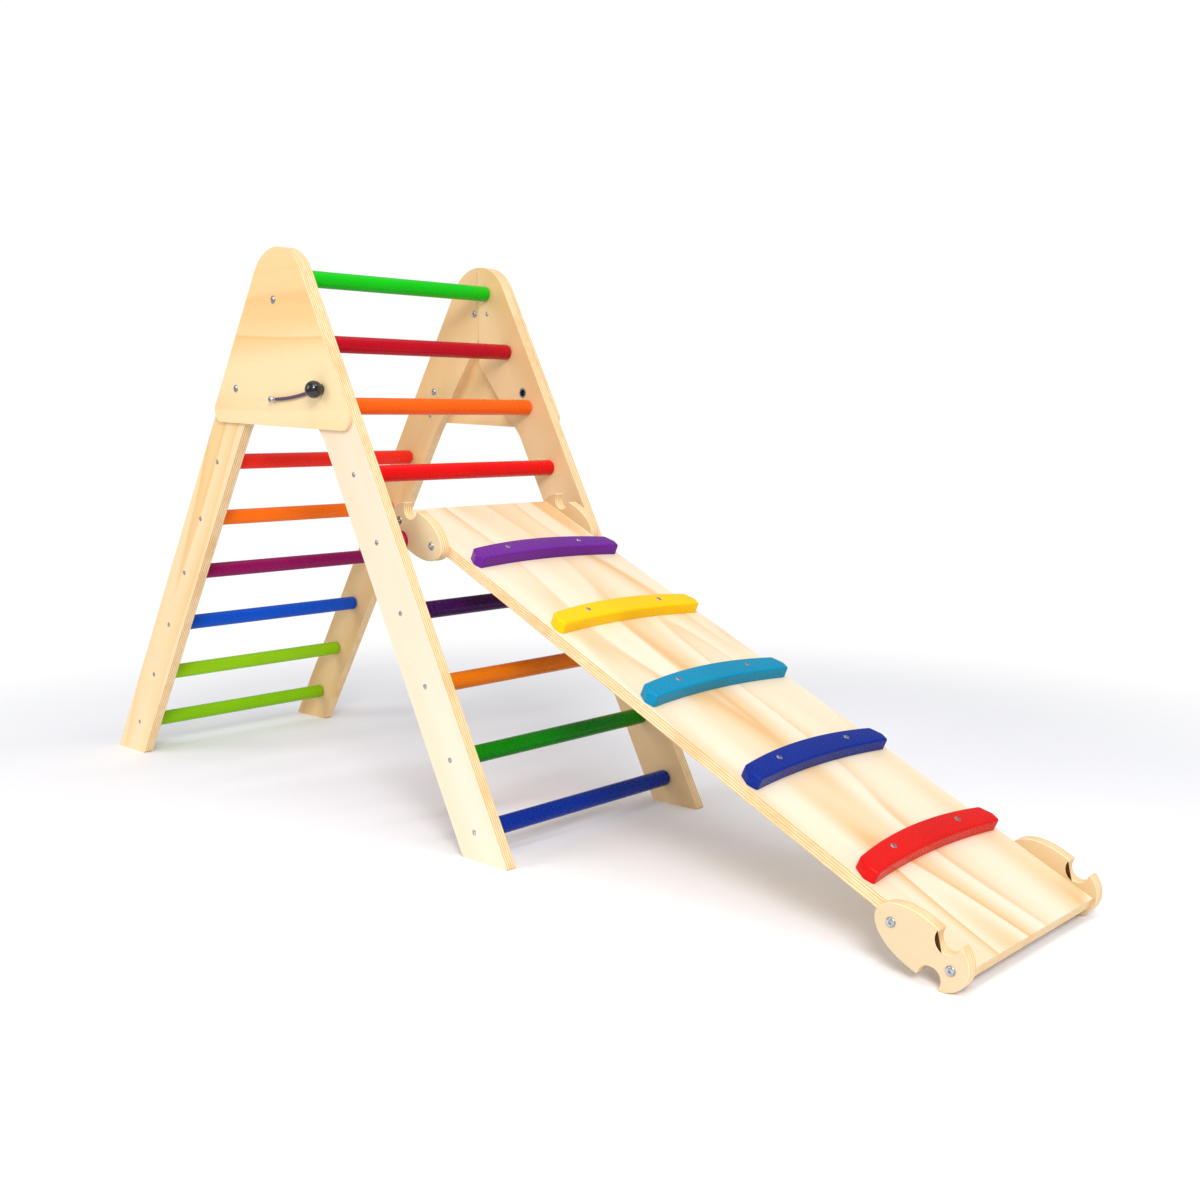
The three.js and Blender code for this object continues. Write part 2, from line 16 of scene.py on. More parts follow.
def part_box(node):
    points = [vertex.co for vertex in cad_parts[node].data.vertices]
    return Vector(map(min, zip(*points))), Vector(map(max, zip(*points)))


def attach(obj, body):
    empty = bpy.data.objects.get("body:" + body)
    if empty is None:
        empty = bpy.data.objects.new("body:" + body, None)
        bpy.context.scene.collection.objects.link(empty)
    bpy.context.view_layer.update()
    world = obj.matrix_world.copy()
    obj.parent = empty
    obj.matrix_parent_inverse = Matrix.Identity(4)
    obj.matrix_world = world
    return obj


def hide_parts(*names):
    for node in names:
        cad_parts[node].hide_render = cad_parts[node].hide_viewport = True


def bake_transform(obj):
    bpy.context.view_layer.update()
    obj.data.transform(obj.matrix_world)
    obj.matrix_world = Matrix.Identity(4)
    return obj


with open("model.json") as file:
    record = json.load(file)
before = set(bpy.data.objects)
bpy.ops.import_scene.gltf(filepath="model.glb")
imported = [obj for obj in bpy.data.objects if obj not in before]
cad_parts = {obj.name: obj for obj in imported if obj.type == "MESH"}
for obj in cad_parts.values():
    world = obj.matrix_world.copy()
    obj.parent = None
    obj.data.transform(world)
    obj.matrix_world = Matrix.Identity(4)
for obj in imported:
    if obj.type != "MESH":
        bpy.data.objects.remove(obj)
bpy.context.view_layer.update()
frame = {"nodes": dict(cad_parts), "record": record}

record = frame["record"]
body_of_node = {n: body for body, nodes in record["behaviour"]["bodies"].items() for n in nodes}
SIDES = {"near": -1, "far": 1}
X = Vector((1, 0, 0))
Y = Vector((0, 1, 0))
Z = Vector((0, 0, 1))


def centre(node):
    low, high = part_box(node)
    return (low + high) / 2


# Directions that the frame gives: up each ladder, down the ramp, and square off its board.
front_up = (centre("front_rung_9") - centre("front_rung_1")).normalized()
rear_up = (centre("rear_rung_6") - centre("rear_rung_1")).normalized()
slope = (centre("cleat_red") - centre("cleat_purple")).normalized()
off_board = Vector((-slope.z, 0, slope.x))

RAIL_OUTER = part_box("front_rail_far")[1].y
RAIL_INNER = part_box("front_rail_far")[0].y
GUSSET_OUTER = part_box("gusset_far")[1].y
BRACKET_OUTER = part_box("bracket_upper_far")[1].y

# ---------------------------------------------------------------- camera

CAMERA_PLACE = (1.6743, -1.5185, 0.6496)
CAMERA_AZIMUTH = 43.86      # degrees from looking along +Y towards looking along -X
CAMERA_DROP = 7.28          # degrees below the horizon
CAMERA_ROLL = -0.45
CAMERA_LENS = 40.41
CAMERA_SENSOR = 36


def make_camera():
    data = bpy.data.cameras.new("camera")
    data.lens = CAMERA_LENS
    data.sensor_width = CAMERA_SENSOR
    camera = bpy.data.objects.new("camera", data)
    azimuth, drop = math.radians(CAMERA_AZIMUTH), math.radians(CAMERA_DROP)
    level = math.cos(drop)
    forward = Vector((-math.sin(azimuth) * level, math.cos(azimuth) * level, -math.sin(drop)))
    turn = forward.to_track_quat("-Z", "Y").to_matrix() @ Matrix.Rotation(math.radians(CAMERA_ROLL), 3, "Z")
    camera.matrix_world = Matrix.Translation(CAMERA_PLACE) @ turn.to_4x4()
    bpy.context.scene.collection.objects.link(camera)
    bpy.context.scene.camera = camera


make_camera()

# ---------------------------------------------------------------- materials


def rgb(code):
    """The linear colour of an sRGB hex code."""
    parts = [int(code[i:i + 2], 16) / 255 for i in (0, 2, 4)]
    return [c / 12.92 if c <= 0.04045 else ((c + 0.055) / 1.055) ** 2.4 for c in parts] + [1.0]


class Shader:
    """A node material on a Principled surface, with short ways to add nodes."""

    def __init__(self, name):
        self.material = bpy.data.materials.new(name)
        self.material.use_nodes = True
        self.tree = self.material.node_tree
        self.surface = self.tree.nodes["Principled BSDF"]
        coordinates = self.tree.nodes.new("ShaderNodeTexCoord")
        self.place = coordinates.outputs["Object"]
        self.normal = coordinates.outputs["Normal"]

    def put(self, socket, value):
        if isinstance(value, bpy.types.NodeSocket):
            self.tree.links.new(value, socket)
        else:
            socket.default_value = value

    def set(self, **sockets):
        """Sets the surface's sockets: base_color=..., roughness=..., and so on."""
        for name, value in sockets.items():
            self.put(self.surface.inputs[name.replace("_", " ").title().replace("Ior", "IOR")], value)

    def add(self, kind, inputs, output=0, **settings):
        node = self.tree.nodes.new(kind)
        for name, value in settings.items():
            setattr(node, name, value)
        for key, value in inputs.items():
            self.put(node.inputs[key], value)
        return node.outputs[output]

    def calc(self, operation, a, b=0.0):
        return self.add("ShaderNodeMath", {0: a, 1: b}, operation=operation)

    def along(self, vector, direction):
        inputs = {0: vector, 1: tuple(direction)}
        return self.add("ShaderNodeVectorMath", inputs, "Value", operation="DOT_PRODUCT")

    def point(self, x, y, z):
        return self.add("ShaderNodeCombineXYZ", {0: x, 1: y, 2: z})

    def scaled(self, *pairs):
        """A point whose parts are values times numbers: (value, number) for each of X, Y and Z."""
        return self.point(*(self.calc("MULTIPLY", value, number) for value, number in pairs))

    def noise(self, vector, scale=1.0, detail=2.0, roughness=0.5):
        inputs = {"Vector": vector, "Scale": scale, "Detail": detail, "Roughness": roughness}
        return self.add("ShaderNodeTexNoise", inputs)

    def fit(self, value, low, high, to_low=0.0, to_high=1.0):
        inputs = {"Value": value, "From Min": low, "From Max": high, "To Min": to_low, "To Max": to_high}
        return self.add("ShaderNodeMapRange", inputs, interpolation_type="SMOOTHSTEP")

    def mix(self, factor, a, b):
        return self.add("ShaderNodeMix", {0: factor, 6: a, 7: b}, 2, data_type="RGBA")

    def bump(self, height, distance, strength=1.0):
        normal = self.add("ShaderNodeBump", {"Strength": strength, "Distance": distance, "Height": height})
        self.put(self.surface.inputs["Normal"], normal)


PLY_PITCH = 0.002           # two neighbouring plies, seen on an edge


def plywood(name, grain, through, seed, pale, golden, bands=6.0, contrast=1.0, arch=1.0):
    """Pine-faced plywood under a thin clear coat.

    grain and through are directions in the piece's own coordinates: along the face's grain, and
    through the plies. The face shows the broad bands and long arches of peeled pine, and an edge
    shows its plies. arch is how fast the bands change along the grain.
    """
    s = Shader(name)
    across = Vector(through).cross(Vector(grain))
    u, v, w = (s.along(s.place, d) for d in (grain, across, through))

    def field(along_scale, across_scale, shift, detail=2.0, roughness=0.5):
        along, sideways = s.calc("MULTIPLY", u, along_scale), s.calc("MULTIPLY", v, across_scale)
        return s.noise(s.point(along, sideways, seed + shift), 1.0, detail, roughness)

    # Growth rings cut by the peeled face: contours of a slow field, drawn out along the grain.
    phase = s.calc("FRACT", s.calc("MULTIPLY", field(0.9 * arch, 7.0, 0.0, 1.0, 0.4), bands))
    late = s.fit(phase, 0.88, 1.0, 1.0, 0.0)
    ring = s.calc("MULTIPLY", s.fit(phase, 0.1, 0.86), late)
    patch = s.fit(field(1.3 * arch, 8.0, 7.3), 0.36, 0.66, 0.1, 1.0)
    ring = s.calc("MULTIPLY", ring, patch)
    fibre = field(14.0, 700.0, 0.0, 3.0, 0.6)
    pore = field(40.0, 420.0, 3.1, 2.0, 0.7)
    tint = s.fit(field(0.8, 5.0, 1.7), 0.36, 0.66)

    base = s.mix(s.calc("MULTIPLY", tint, 0.5), rgb(pale), rgb(golden))
    face = s.mix(s.calc("MULTIPLY", ring, 0.7 * contrast), base, rgb(golden))
    deep = [c * f for c, f in zip(rgb(golden), (0.90, 0.72, 0.50))] + [1.0]
    line = s.calc("MULTIPLY", s.calc("MULTIPLY", s.fit(phase, 0.72, 0.9), late), patch)
    face = s.mix(s.calc("MULTIPLY", line, 0.42 * contrast), face, deep)
    face = s.mix(s.fit(fibre, 0.35, 0.75, 0.0, 0.07), face, deep)
    face = s.mix(s.fit(pore, 0.68, 0.8, 0.0, 0.12), face, deep)

    # Edges: plies by turns along and across the cut, with a thin glue line between them.
    wobble = field(9.0, 9.0, 0.0, 1.0)
    layer = s.calc("ADD", s.calc("DIVIDE", w, PLY_PITCH), s.calc("MULTIPLY", wobble, 0.4))
    turn = s.calc("PINGPONG", layer, 1.0)
    drawn = s.noise(s.scaled((u, 60.0), (v, 60.0), (w, 900.0)))
    blotch = field(16.0, 16.0, 2.0)
    cross_ply = s.mix(s.fit(drawn, 0.35, 0.7), rgb("ecc891"), rgb("dcae6e"))
    long_ply = s.mix(s.fit(drawn, 0.35, 0.7), rgb("fae6c2"), rgb("f2d6a4"))
    side = s.mix(s.fit(turn, 0.40, 0.60), long_ply, cross_ply)
    side = s.mix(s.fit(blotch, 0.45, 0.7, 0.0, 0.35), side, rgb("d8a45e"))
    glue = s.calc("MULTIPLY", s.fit(turn, 0.40, 0.5), s.fit(turn, 0.5, 0.60, 1.0, 0.0))
    side = s.mix(s.calc("MULTIPLY", glue, 0.30), side, rgb("b98548"))
    on_edge = s.fit(s.calc("ABSOLUTE", s.along(s.normal, through)), 0.55, 0.8, 1.0, 0.0)

    s.set(base_color=s.mix(on_edge, face, side))
    rough = s.calc("ADD", s.fit(fibre, 0.3, 0.7, 0.40, 0.50), s.calc("MULTIPLY", on_edge, 0.16))
    s.set(roughness=rough, coat_weight=0.10, coat_roughness=0.25, specular_ior_level=0.3)
    relief = s.calc("ADD", s.calc("MULTIPLY", fibre, 0.4), s.calc("MULTIPLY", ring, -0.5))
    s.bump(s.calc("ADD", relief, s.calc("MULTIPLY", glue, s.calc("MULTIPLY", on_edge, -0.8))), 0.00008, 0.6)
    return s.material


def gloss_paint(name, code, gloss=1.0):
    """Smooth gloss paint over a dowel, whose grain runs along its local Z, or over a batten."""
    s = Shader(name)
    x, y, z = (s.along(s.place, d) for d in (X, Y, Z))
    streak = s.noise(s.scaled((x, 500.0), (y, 40.0), (z, 12.0)), 1.0, 2.0, 0.6)
    peel = s.noise(s.place, 260.0, 2.0, 0.5)
    cloud = s.noise(s.place, 7.0, 2.0, 0.5)
    colour = rgb(code)
    darker = [c * 0.90 for c in colour[:3]] + [1.0]
    s.set(base_color=s.mix(s.fit(cloud, 0.3, 0.7), darker, colour))
    s.set(roughness=s.fit(peel, 0.3, 0.7, 0.24, 0.32), specular_ior_level=0.12)
    s.set(coat_weight=0.07 * gloss, coat_roughness=0.10)
    s.bump(s.calc("ADD", s.calc("MULTIPLY", streak, 0.5), s.calc("MULTIPLY", peel, 0.5)), 0.00004, 0.4)
    return s.material


def zinc(name="zinc_plate", code="c9ccd0"):
    s = Shader(name)
    turned_marks = s.noise(s.point(0.0, 0.0, s.calc("MULTIPLY", s.along(s.place, Z), 9000.0)), 1.0, 3.0)
    stain = s.noise(s.place, 260.0, 3.0, 0.6)
    s.set(base_color=s.mix(s.fit(stain, 0.35, 0.75), rgb(code), rgb("8f9296")), metallic=1.0)
    s.set(roughness=s.fit(stain, 0.3, 0.7, 0.24, 0.40))
    s.bump(turned_marks, 0.00003, 0.5)
    return s.material


def black_knob():
    s = Shader("black_knob")
    haze = s.noise(s.place, 300.0, 3.0, 0.6)
    s.set(base_color=s.mix(s.fit(haze, 0.3, 0.7), rgb("0b0b0c"), rgb("17171a")))
    s.set(roughness=s.fit(haze, 0.3, 0.7, 0.12, 0.2), coat_weight=0.4, coat_roughness=0.05)
    s.bump(s.noise(s.place, 900.0, 2.0), 0.00004, 0.3)
    return s.material


def braid():
    s = Shader("braided_cord")
    strand = s.noise(s.place, 2600.0, 2.0, 0.6)
    s.set(base_color=s.mix(s.fit(strand, 0.3, 0.7), rgb("22082c"), rgb("4a1f55")))
    s.set(roughness=s.fit(strand, 0.3, 0.7, 0.55, 0.8), sheen_weight=0.3)
    s.bump(strand, 0.0001, 0.6)
    return s.material


STEEL = zinc()
DARK_STEEL = zinc("dark_steel", "6f6a5c")
KNOB = black_knob()
CORD = braid()

# ---------------------------------------------------------------- mesh helpers


def matrix_at(origin, x_axis, z_axis):
    """The matrix that lays local X and Z along these directions, at the origin given."""
    x, z = Vector(x_axis).normalized(), Vector(z_axis).normalized()
    matrix = Matrix((x, z.cross(x), z)).transposed().to_4x4()
    matrix.translation = origin
    return matrix


def piece(name, mesh, matrix, body, material, nodes=()):
    """A finished piece that rides on a body and stands for the CAD nodes named."""
    obj = bpy.data.objects.new(name, mesh)
    bpy.context.scene.collection.objects.link(obj)
    obj.matrix_world = matrix
    if not mesh.materials:
        mesh.materials.append(material)
    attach(obj, body)
    if nodes:
        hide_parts(*nodes)
    return obj


def smoothed(mesh, sharp_degrees=40):
    mesh.shade_smooth()
    mesh.set_sharp_from_angle(angle=math.radians(sharp_degrees))
    return mesh


def soften_edges(obj, width, segments=3, degrees=30):
    """Rounds every edge sharper than the angle; the facets of one flat face are joined first."""
    weld = obj.modifiers.new("weld", "WELD")
    weld.merge_threshold = 1e-6
    join = obj.modifiers.new("join", "DECIMATE")
    join.decimate_type = "DISSOLVE"
    join.angle_limit = math.radians(1)
    bevel = obj.modifiers.new("round", "BEVEL")
    bevel.width = width
    bevel.segments = segments
    bevel.limit_method = "ANGLE"
    bevel.angle_limit = math.radians(degrees)
    bevel.harden_normals = True


def round_shape(angle):
    return 1.0


def hex_shape(angle):
    sixth = math.pi / 3
    return 1 / math.cos((angle % sixth) - sixth / 2)


def cross_shape(angle, arm=0.28):
    """A cross recess: four arms, each as wide as arm times two, reaching a radius of 1."""
    c, s = max(abs(math.cos(angle)), 1e-6), max(abs(math.sin(angle)), 1e-6)
    return max(min(1 / c, arm / s), min(1 / s, arm / c))


def turned(name, profile, segments=48):
    """A solid about local Z. The profile is (radius, height) or (radius, height, shape) points."""
    mesh = bmesh.new()
    rings = []
    for radius, height, *shape in profile:
        outline = shape[0] if shape else round_shape
        if radius == 0:
            rings.append([mesh.verts.new((0, 0, height))])
            continue
        angles = [2 * math.pi * i / segments for i in range(segments)]
        rings.append([
            mesh.verts.new((radius * outline(a) * math.cos(a), radius * outline(a) * math.sin(a), height))
            for a in angles
        ])
    for lower, upper in zip(rings, rings[1:]):
        for i in range(segments):
            j = (i + 1) % segments
            corners = [lower[i % len(lower)], lower[j % len(lower)]]
            corners += [upper[j % len(upper)], upper[i % len(upper)]]
            unique = list(dict.fromkeys(corners))
            if len(unique) > 2:
                mesh.faces.new(unique)
    bmesh.ops.recalc_face_normals(mesh, faces=mesh.faces)
    data = bpy.data.meshes.new(name)
    mesh.to_mesh(data)
    mesh.free()
    return smoothed(data)


def rounded_profile(radius, low, high, ease, steps=4):
    """The profile of a closed bar with rounded rims."""
    points = [(0, low)]
    for i in range(steps + 1):
        a = math.pi / 2 * i / steps
        points.append((radius - ease + ease * math.sin(a), low + ease - ease * math.cos(a)))
    for i in range(steps + 1):
        a = math.pi / 2 * i / steps
        points.append((radius - ease + ease * math.cos(a), high - ease + ease * math.sin(a)))
    return points + [(0, high)]


def softened(points, step, passes):
    """A closed outline drawn again with even steps, its corners worn round."""
    closed = points + points[:1]
    lengths = [0.0]
    for a, b in zip(closed, closed[1:]):
        lengths.append(lengths[-1] + math.dist(a, b))
    count = round(lengths[-1] / step)
    even, k = [], 0
    for i in range(count):
        target = lengths[-1] * i / count
        while lengths[k + 1] < target:
            k += 1
        t = (target - lengths[k]) / (lengths[k + 1] - lengths[k])
        even.append([p + t * (q - p) for p, q in zip(closed[k], closed[k + 1])])
    for _ in range(passes):
        even = [
            [(a[k] + 2 * b[k] + c[k]) / 4 for k in (0, 1)]
            for a, b, c in zip(even[-1:] + even[:-1], even, even[1:] + even[:1])
        ]
    return even


def slab(name, outline, low, high, ease_low, ease_high, steps=4):
    """An outline in local XY filled from low to high in Z, with rounded rims."""
    mesh = bmesh.new()
    rims = [(low, 0.0)] if ease_low == 0 else []
    count = len(outline)
    for i in range(steps + 1 if ease_low else 0):
        a = math.pi / 2 * i / steps
        rims.append((low + ease_low * (1 - math.cos(a)), ease_low * (1 - math.sin(a))))
    for i in range(steps + 1):
        a = math.pi / 2 * i / steps
        rims.append((high - ease_high * (1 - math.sin(a)), ease_high * (1 - math.cos(a))))
    inward = []
    for before, after in zip(outline[-1:] + outline[:-1], outline[1:] + outline[:1]):
        d = Vector((after[0] - before[0], after[1] - before[1])).normalized()
        inward.append(Vector((-d.y, d.x)))
    loops = [
        [mesh.verts.new((p[0] + inset * n.x, p[1] + inset * n.y, z)) for p, n in zip(outline, inward)]
        for z, inset in rims
    ]
    for lower, upper in zip(loops, loops[1:]):
        for i in range(count):
            j = (i + 1) % count
            mesh.faces.new((lower[i], lower[j], upper[j], upper[i]))
    caps = [mesh.faces.new(loops[0][::-1]), mesh.faces.new(loops[-1])]
    bmesh.ops.triangulate(mesh, faces=caps, quad_method="BEAUTY", ngon_method="BEAUTY")
    data = bpy.data.meshes.new(name)
    mesh.to_mesh(data)
    mesh.free()
    return smoothed(data, 22)


def merged(name, template, matrices):
    """One mesh that holds a copy of the template at each matrix."""
    mesh = bmesh.new()
    for matrix in matrices:
        start = len(mesh.verts)
        mesh.from_mesh(template)
        mesh.verts.ensure_lookup_table()
        bmesh.ops.transform(mesh, matrix=matrix, verts=mesh.verts[start:])
    data = bpy.data.meshes.new(name)
    mesh.to_mesh(data)
    mesh.free()
    for material in template.materials:
        data.materials.append(material)
    return smoothed(data)


# ---------------------------------------------------------------- rails, gussets and board

EASE = 0.0011               # rounding of the plywood's edges

# Pale and golden tones of the pine, by ladder and side; the far side's darker tones are painted shade, for
# far faces that stand in shadow behind the near parts.
RAIL_TONES_AND_SHADE = {
    "front_near": ("f8e8d6", "f0d2a8"),
    "front_far": ("f0d5a8", "dcab66"),
    "rear_near": ("fbe6bf", "f3c983"),
    "rear_far": ("e8c794", "d09e5c"),
}
# The far gusset's darker tones are painted shade, as its face stands in shadow behind the near gusset.
GUSSET_TONES_AND_SHADE = {"near": ("fae0b0", "efbd70"), "far": ("eed0a0", "dcaa64")}
BOARD_TONES = ("f2e4cc", "e6bd82")
BRACKET_TONES = ("dcc6a0", "cda972")


def finish_plate(node, grain, through, seed, pale, golden, **looks):
    plate = frame["nodes"][node]
    plate.data.materials.clear()
    plate.data.materials.append(plywood(f"plywood_{node}", grain, through, seed, pale, golden, **looks))
    soften_edges(plate, EASE)


for index, side_name in enumerate(SIDES):
    shift = 5 * index
    front_tones, rear_tones = RAIL_TONES_AND_SHADE[f"front_{side_name}"], RAIL_TONES_AND_SHADE[f"rear_{side_name}"]
    front_looks = {"bands": 5.0, "contrast": 0.6}
    rear_looks = {"contrast": 0.8}
    # On the far side these tones carry painted shade.
    finish_plate(f"front_rail_{side_name}", front_up, Y, 2.0 + shift, *front_tones, **front_looks)
    finish_plate(f"rear_rail_{side_name}", rear_up, Y, 13.0 + shift, *rear_tones, **rear_looks)
    finish_plate(f"gusset_{side_name}", X, Y, 31.4 + shift, *GUSSET_TONES_AND_SHADE[side_name], arch=0.6)
finish_plate("ramp_board", slope, off_board, 47.0, *BOARD_TONES, bands=8.0, contrast=1.1)

# ---------------------------------------------------------------- rungs

RUNG_COLOURS = {
    "front_rung": ["022c94", "047e04", "e07408", "35064c", "b01848", "e60c0e", "fb6410", "b8061e", "10c414"],
    "rear_rung": ["86c306", "92cd0c", "0850c8", "8c0c58", "ff7612", "f82c22"],
}
RUNG_EASE = 0.0045


def make_rungs():
    for ladder, colours in RUNG_COLOURS.items():
        for i, code in enumerate(colours):
            node = f"{ladder}_{i + 1}"
            low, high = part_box(node)
            radius, half = (high.z - low.z) / 2, (high.y - low.y) / 2
            mesh = turned(f"{node}_dowel", rounded_profile(radius, -half, half, RUNG_EASE, 5), 56)
            matrix = matrix_at(centre(node), X, Y)
            paint = gloss_paint(f"paint_{node}", code)
            piece(f"{node}_dowel", mesh, matrix, body_of_node[node], paint, [node])


make_rungs()

# ---------------------------------------------------------------- cleats

CLEAT_COLOURS = {"red": "d80e0a", "blue": "042688", "cyan": "0188b0", "yellow": "fcc802", "purple": "6a2090"}
CLEAT_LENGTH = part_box("cleat_blue")[1].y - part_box("cleat_blue")[0].y
CLEAT_WIDTH = 0.038
CLEAT_THICKNESS = 0.018
CLEAT_UPPER_RISE = 0.016
CLEAT_LOWER_RISE = 0.010
CLEAT_NIP = 0.009
CLEAT_EASE = 0.0034
CLEAT_SCREW_Y = 0.080


def cleat_outline():
    """Local X is down the slope and Y across the board, both from the cleat's middle."""
    half = CLEAT_LENGTH / 2

    def bow(rise, middle, start, end, steps=24):
        radius = (half * half + rise * rise) / (2 * rise)
        ys = [start + (end - start) * i / steps for i in range(steps + 1)]
        return [[middle + radius - math.sqrt(radius * radius - y * y), y] for y in ys]

    uphill = bow(CLEAT_UPPER_RISE, -CLEAT_WIDTH / 2, half - CLEAT_NIP, -half + CLEAT_NIP)
    downhill = bow(CLEAT_LOWER_RISE, CLEAT_WIDTH / 2, -half + CLEAT_NIP / 2, half - CLEAT_NIP / 2)
    tip = CLEAT_LOWER_RISE + CLEAT_NIP / 2
    return uphill + [[tip, -half]] + downhill + [[tip, half]]


def make_cleats():
    shape = softened(cleat_outline(), 0.0016, 3)
    for colour_name, code in CLEAT_COLOURS.items():
        node = f"cleat_{colour_name}"
        mesh = slab(f"{node}_batten", shape, 0.0, CLEAT_THICKNESS, 0.0, CLEAT_EASE, 5)
        corners = [v.co for v in frame["nodes"][node].data.vertices]
        node_low = min(c.dot(off_board) for c in corners)
        slope_low = min(c.dot(slope) for c in corners)
        origin = slope * (slope_low + CLEAT_WIDTH / 2) + off_board * node_low
        matrix = matrix_at(origin, slope, off_board)
        paint = gloss_paint(f"paint_{node}", code, 0.8)
        piece(f"{node}_batten", mesh, matrix, "ramp", paint, [node])
        top = matrix @ Matrix.Translation((0, 0, CLEAT_THICKNESS))
        places = [top @ Matrix.Translation((0.001, y, 0)) for y in (-CLEAT_SCREW_Y, CLEAT_SCREW_Y)]
        heads = merged(f"{node}_screws", WOOD_SCREW, places)
        piece(f"{node}_screws", heads, Matrix.Identity(4), "ramp", DARK_STEEL)


# ---------------------------------------------------------------- fasteners

SCREW_RADIUS = 0.0040
BOLT_HEAD_HEIGHT = 0.0025
BOLT_SOCKET = 0.0021        # from the middle of the hexagonal socket to a flat
BRACKET_SCREW_HEAD = (0.0065, 0.0024, 0.0022)       # radius, height and socket
INNER_SCREW_UP = (-0.0553, 0.0739)      # from the pivot, in the front rail's head
INNER_SCREW_LOW = (-0.0135, -0.0459)    # from the lower gusset bolt, in the rear rail


def wood_screw():
    """A countersunk cross-head screw, whose rim stands just proud of the wood."""
    r = SCREW_RADIUS
    profile = [
        (0, -0.0004), (r * 1.12, -0.0004), (r * 1.12, 0.00005), (r, 0.0001), (r * 0.97, 0.0005),
        (r * 0.75, 0.0008), (r * 0.55, 0.0009, cross_shape), (r * 0.5, -0.0003, cross_shape), (0, -0.0004),
    ]
    mesh = turned("wood_screw", profile, 64)
    mesh.materials.append(STEEL)
    return mesh


def socket_head(radius, height, hexagon):
    """A domed flange head with a hexagonal socket; its underside is at height 0."""
    return [
        (0, -0.004), (radius * 0.45, -0.004), (radius * 0.45, 0), (radius * 0.96, 0),
        (radius, height * 0.12), (radius, height * 0.3), (radius * 0.93, height * 0.55),
        (radius * 0.76, height * 0.82), (radius * 0.66, height * 0.94), (radius * 0.60, height),
        (hexagon * 1.16, height), (hexagon, height * 0.96, hex_shape),
        (hexagon, height * 0.12, hex_shape), (0, height * 0.05),
    ]


WOOD_SCREW = wood_screw()
make_cleats()


def facing(place, side):
    """At the place, with local Z pointing out to the side given."""
    return matrix_at(place, X, Y * side)


def make_rung_screws():
    """The screws through the rails into the ends of the rungs, where no gusset covers them."""
    covered_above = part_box("gusset_far")[0].z
    for ladder in RUNG_COLOURS:
        rail = ladder.replace("rung", "rail")
        for side_name, side in SIDES.items():
            places = []
            for i in range(len(RUNG_COLOURS[ladder])):
                at = centre(f"{ladder}_{i + 1}")
                if at.z < covered_above:
                    places.append(facing((at.x, side * RAIL_OUTER, at.z), side))
            mesh = merged(f"{rail}_screws_{side_name}", WOOD_SCREW, places)
            body = body_of_node[f"{rail}_{side_name}"]
            piece(f"{rail}_screws_{side_name}", mesh, Matrix.Identity(4), body, STEEL)


def make_inner_screws():
    """One screw low in each rear rail's inner face, and one in each front rail's head."""
    pivot = centre("front_rung_8")
    corner = centre("gusset_nut_lower_near")
    for side_name, side in SIDES.items():
        inner = side * RAIL_INNER
        head = facing((pivot.x + INNER_SCREW_UP[0], inner, pivot.z + INNER_SCREW_UP[1]), -side)
        low = facing((corner.x + INNER_SCREW_LOW[0], inner, corner.z + INNER_SCREW_LOW[1]), -side)
        for name, matrix, body in (("head", head, "front_ladder"), ("low", low, "rear_ladder")):
            mesh = merged(f"inner_screw_{name}_{side_name}", WOOD_SCREW, [matrix])
            piece(f"inner_screw_{name}_{side_name}", mesh, Matrix.Identity(4), body, STEEL)


def make_gusset_bolts():
    for side_name, side in SIDES.items():
        for which in ("upper", "lower"):
            node = f"gusset_bolt_{which}_{side_name}"
            at = centre(node)
            low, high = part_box(node)
            radius = (high.z - low.z) / 2
            head = turned(f"{node}_head", socket_head(radius, BOLT_HEAD_HEIGHT, BOLT_SOCKET), 48)
            matrix = facing((at.x, side * GUSSET_OUTER, at.z), side)
            piece(f"{node}_head", head, matrix, "rear_ladder", STEEL, [node])
            nut = f"gusset_nut_{which}_{side_name}"
            cap = turned(f"{nut}_cap", socket_head(radius, BOLT_HEAD_HEIGHT, BOLT_SOCKET), 48)
            matrix = facing((at.x, side * RAIL_INNER, at.z), -side)
            piece(f"{nut}_cap", cap, matrix, "rear_ladder", STEEL, [nut])


def make_bracket_screws():
    for end in ("upper", "lower"):
        for side_name, side in SIDES.items():
            for i in (1, 2):
                node = f"bracket_screw_{end}_{side_name}_{i}"
                at = centre(node)
                mesh = turned(f"{node}_head", socket_head(*BRACKET_SCREW_HEAD), 48)
                matrix = facing((at.x, side * BRACKET_OUTER, at.z), side)
                piece(f"{node}_head", mesh, matrix, "ramp", STEEL, [node])


make_rung_screws()
make_inner_screws()
make_gusset_bolts()
make_bracket_screws()
for fitting in ("pivot_stud_near", "pivot_stud_far", "pin_bush_near", "pin_bush_far"):
    frame["nodes"][fitting].data.materials.clear()
    frame["nodes"][fitting].data.materials.append(STEEL)

# ---------------------------------------------------------------- ramp brackets

NOTCH_SPACING = 1.07        # between the upper and the lower notches, along the slope
NOTCH_RADIUS = 0.0155
NOTCH_OFFSET = 0.028
TAIL_CENTRE = 0.005
TAIL_RADIUS = 0.035
BODY_CENTRE = 0.032
BODY_LENGTH = 0.062
BODY_HALF_HEIGHT = 0.034
BRACKET_EASE = 0.0016


def arc(cx, cy, rx, ry, start, end, steps=40):
    angles = [start + (end - start) * i / steps for i in range(steps + 1)]
    return [[cx + rx * math.cos(a), cy + ry * math.sin(a)] for a in angles]


